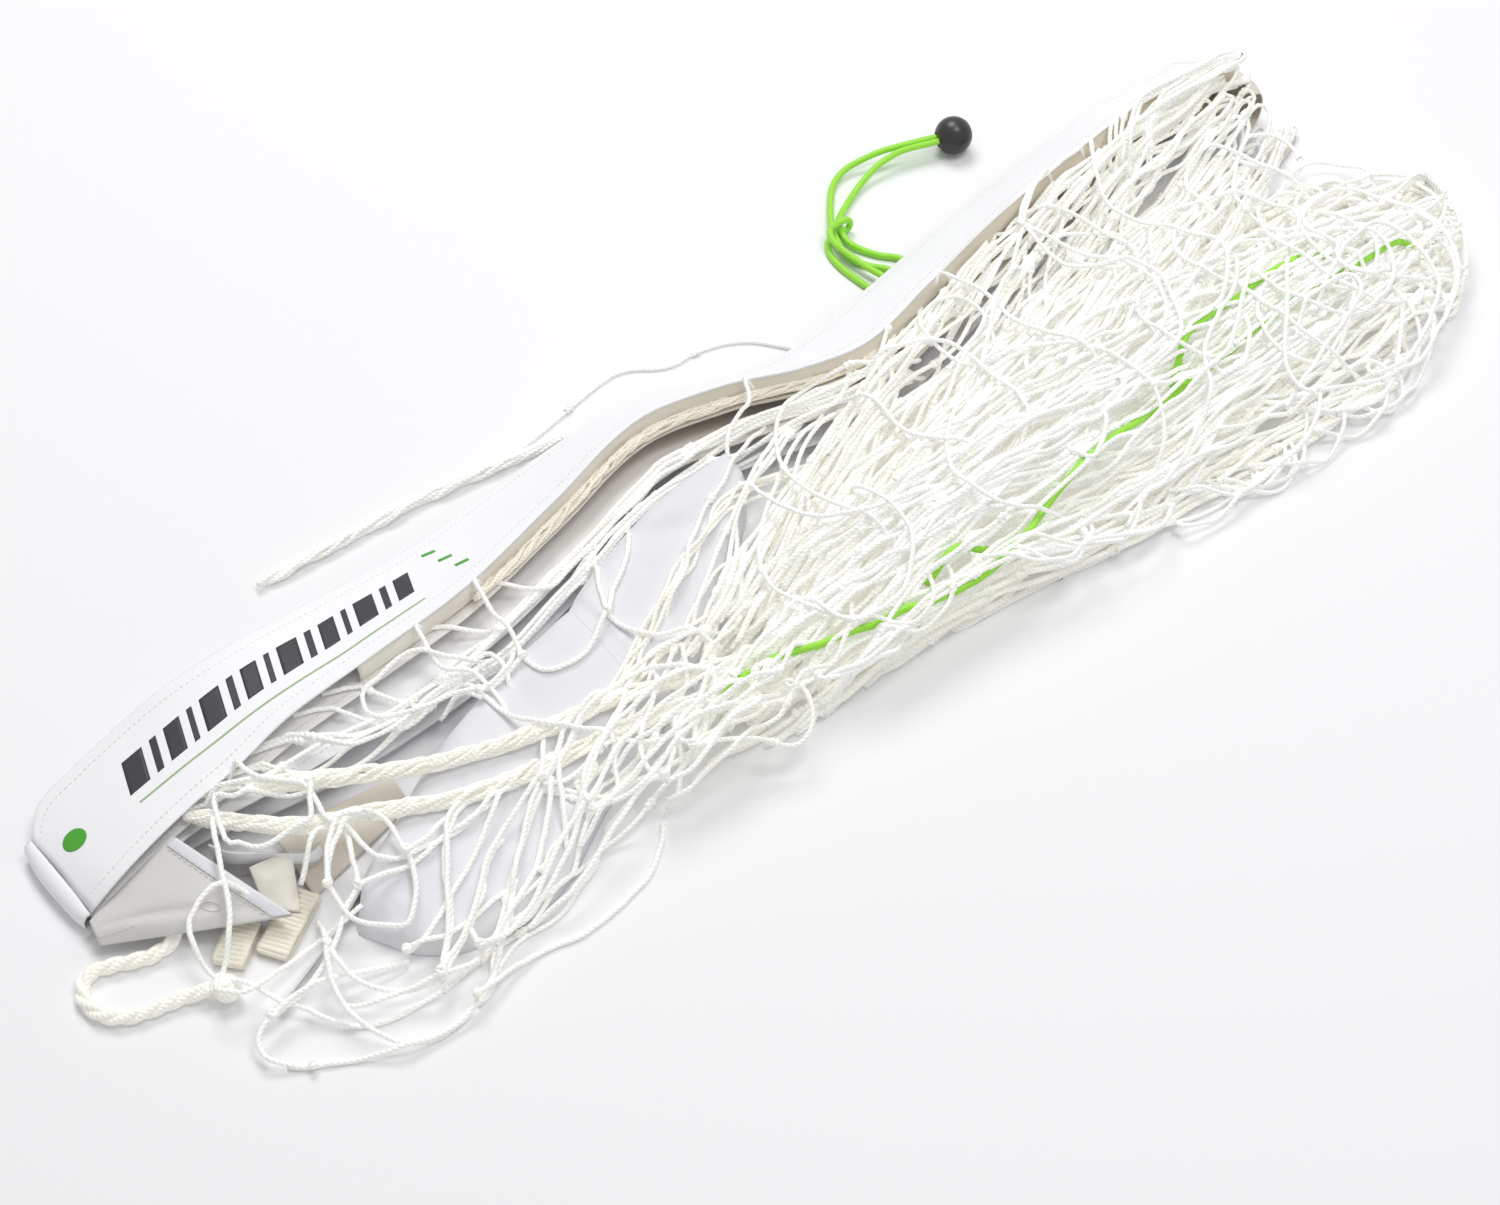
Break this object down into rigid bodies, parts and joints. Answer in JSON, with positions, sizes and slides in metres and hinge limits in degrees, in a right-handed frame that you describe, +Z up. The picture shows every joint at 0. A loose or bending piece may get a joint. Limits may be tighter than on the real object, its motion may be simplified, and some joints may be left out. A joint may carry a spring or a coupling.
{
  "type": "portable sports net",
  "caption": "Folded portable goal-type sports net: knotted twine net gathered beside a flat white pole sleeve, with corner pocket, straps and an elastic ball tie.",
  "frame": {"origin": "middle of the footprint of the bundle, on the floor", "axes": "+X along the bundle from the corner pocket to the gathered net's far end, +Y to the back where the ball tie lies, +Z up from the floor"},
  "size_m": [1.1017, 0.4139, 0.064],
  "materials": {
    "sleeve_cloth": "matt coated polyester",
    "lining_cloth": "matt, lightly creased",
    "twine": "twisted polyethylene, slight sheen",
    "webbing": "ribbed",
    "elastic": "braided cover, satin",
    "ball_plastic": "satin moulded"
  },
  "bodies": {
    "bundle": {"printed_run": "sleeve_cloth", "second_run": "lining_cloth", "third_run": "sleeve_cloth", "base_run": "sleeve_cloth", "left_fold": "sleeve_cloth", "right_fold": "sleeve_cloth", "corner_pocket": "lining_cloth", "pocket_hem": "sleeve_cloth", "pocket_flap": "sleeve_cloth", "front_panel": "sleeve_cloth", "middle_panel": "sleeve_cloth", "end_flap": "lining_cloth", "strap_loop_left": "webbing", "strap_loop_right": "webbing", "edge_tape": "sleeve_cloth", "net_heap": "twine", "net_strands": "twine", "net_skirt": "twine", "head_rope_upper": "twine", "head_rope_lower": "twine", "back_rope": "twine", "back_loop": "twine", "lacing_cord": "twine", "net_elastic": "elastic", "anchor_rope": "twine", "anchor_knot": "twine", "tie_cord_outer": "elastic", "tie_cord_inner": "elastic", "tie_hitch": "elastic", "tie_end_knot": "elastic"},
    "ball": {"tie_ball": "ball_plastic"}
  },
  "joints": [
    {"name": "ball_slide", "type": "slide", "parent": "bundle", "child": "ball", "axis": [-0.9397, 0.342, 0], "range_m": [0, 0.02]}
  ]
}
